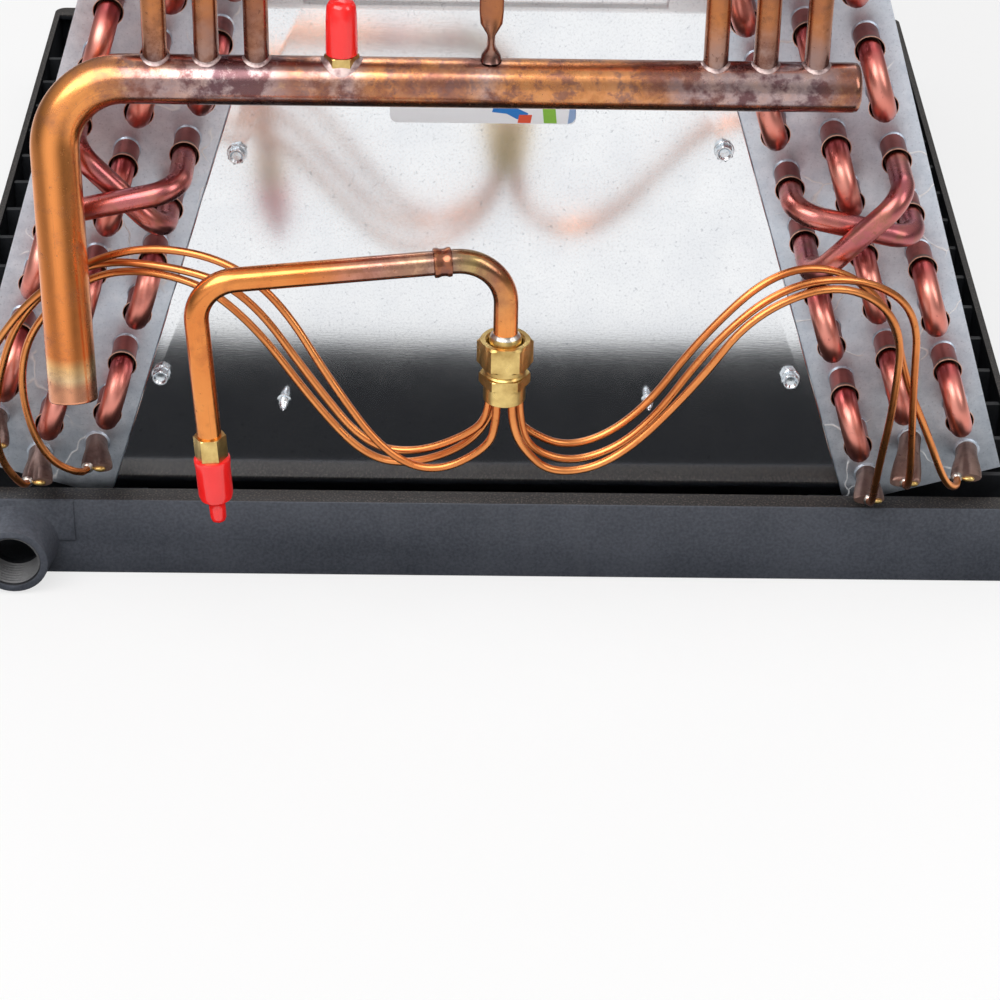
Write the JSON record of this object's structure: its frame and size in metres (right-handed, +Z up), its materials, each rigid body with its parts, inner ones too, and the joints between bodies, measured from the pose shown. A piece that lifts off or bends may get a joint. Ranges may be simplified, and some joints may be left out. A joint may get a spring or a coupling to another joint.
{
  "type": "a_coil_evaporator",
  "caption": "A-coil evaporator: two finned slabs leaning together over a moulded drain pan, with suction header, distributor, feeder tubes and capped liquid line",
  "frame": {"origin": "on the underside of the drain pan, on its centre line, in the plane of the front tube sheets", "axes": "+X to the right seen from the piped front end, +Y from the front end to the back, +Z up"},
  "size_m": [0.484, 0.6155, 0.5478],
  "materials": {
    "pan_plastic": "moulded, finely mottled",
    "galvanised_sheet": "galvanised",
    "fin_aluminium": "thin corrugated fins",
    "copper_tube": "bare copper, heat-stained at the brazed joints",
    "header_copper": "bare copper, oxidised by brazing",
    "brass": "machined",
    "cap_plastic": "glossy"
  },
  "bodies": {
    "root": {"access_valve": "brass", "access_valve_cap": "cap_plastic", "apex_cap": "galvanised_sheet", "crossover_over_left": "copper_tube", "crossover_over_right": "copper_tube", "crossover_under_left": "copper_tube", "crossover_under_right": "copper_tube", "distributor_body": "brass", "distributor_nut": "brass", "distributor_tailpiece": "brass", "drain_pan": "pan_plastic", "feed_adapters_left": "copper_tube", "feed_adapters_right": "copper_tube", "feeder_left_inner": "copper_tube", "feeder_left_middle": "copper_tube", "feeder_left_outer": "copper_tube", "feeder_right_inner": "copper_tube", "feeder_right_middle": "copper_tube", "feeder_right_outer": "copper_tube", "fin_pack_left": "fin_aluminium", "fin_pack_right": "fin_aluminium", "front_end_plate": "galvanised_sheet", "hairpins_left_inner": "copper_tube", "hairpins_left_middle": "copper_tube", "hairpins_left_outer": "copper_tube", "hairpins_right_inner": "copper_tube", "hairpins_right_middle": "copper_tube", "hairpins_right_outer": "copper_tube", "header_strut": "copper_tube", "liquid_coupling": "copper_tube", "liquid_elbow": "copper_tube", "liquid_line": "copper_tube", "liquid_valve_cap": "cap_plastic", "liquid_valve_fitting": "brass", "outlet_left_inner": "copper_tube", "outlet_left_middle": "copper_tube", "outlet_left_outer": "copper_tube", "outlet_right_inner": "copper_tube", "outlet_right_middle": "copper_tube", "outlet_right_outer": "copper_tube", "rear_end_plate": "galvanised_sheet", "return_bends_left_inner": "copper_tube", "return_bends_left_middle": "copper_tube", "return_bends_left_outer": "copper_tube", "return_bends_right_inner": "copper_tube", "return_bends_right_middle": "copper_tube", "return_bends_right_outer": "copper_tube", "suction_header": "header_copper", "tube_sheet_left_front": "galvanised_sheet", "tube_sheet_left_rear": "galvanised_sheet", "tube_sheet_right_front": "galvanised_sheet", "tube_sheet_right_rear": "galvanised_sheet"}
  },
  "joints": []
}
